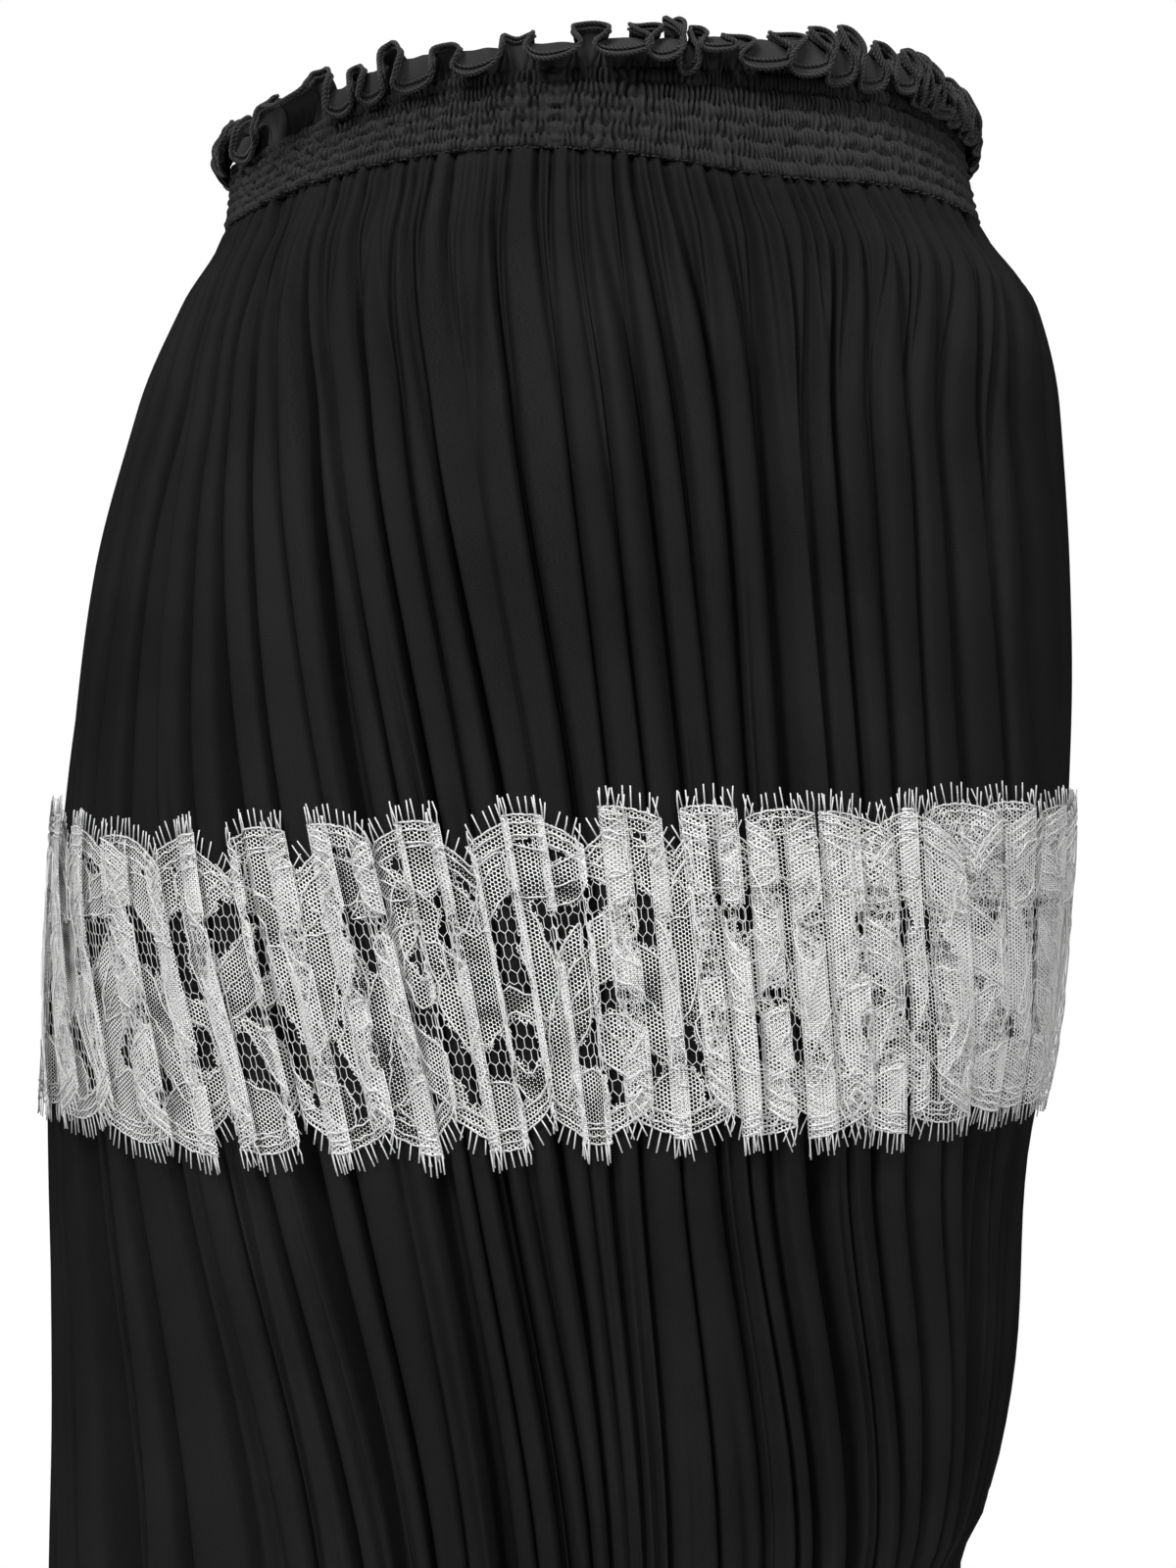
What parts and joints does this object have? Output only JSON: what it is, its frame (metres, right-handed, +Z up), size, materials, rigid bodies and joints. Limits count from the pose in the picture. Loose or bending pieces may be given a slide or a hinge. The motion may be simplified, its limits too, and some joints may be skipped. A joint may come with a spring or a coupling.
{
  "type": "midi skirt",
  "caption": "Gathered midi skirt in black cloth with a shirred elastic waist, a ruffled heading and a white scalloped lace band with eyelash edges, filled out as worn.",
  "frame": {"origin": "on the body's axis at mid-height of the elastic waistband, where the wearer's waist holds the skirt", "axes": "+Z up along the body, +X the wearer's right, +Y the front; the back, with the band's seam, faces -Y"},
  "size_m": [0.3836, 0.2687, 0.7424],
  "materials": {
    "black_cloth": "matte, fluid black woven cloth with a very slight sheen",
    "black_shirring": "matte black woven cloth, finely puckered by rows of elastic stitching",
    "white_lace": "matte off-white cotton lace on a net ground with corded outlines"
  },
  "bodies": {
    "root": {"waist_ruffle": "black_shirring", "waistband": "black_shirring", "panel_right": "black_cloth", "panel_left": "black_cloth", "lace_band": "white_lace", "lace_eyelash_top": "white_lace", "lace_eyelash_foot": "white_lace"}
  },
  "joints": []
}
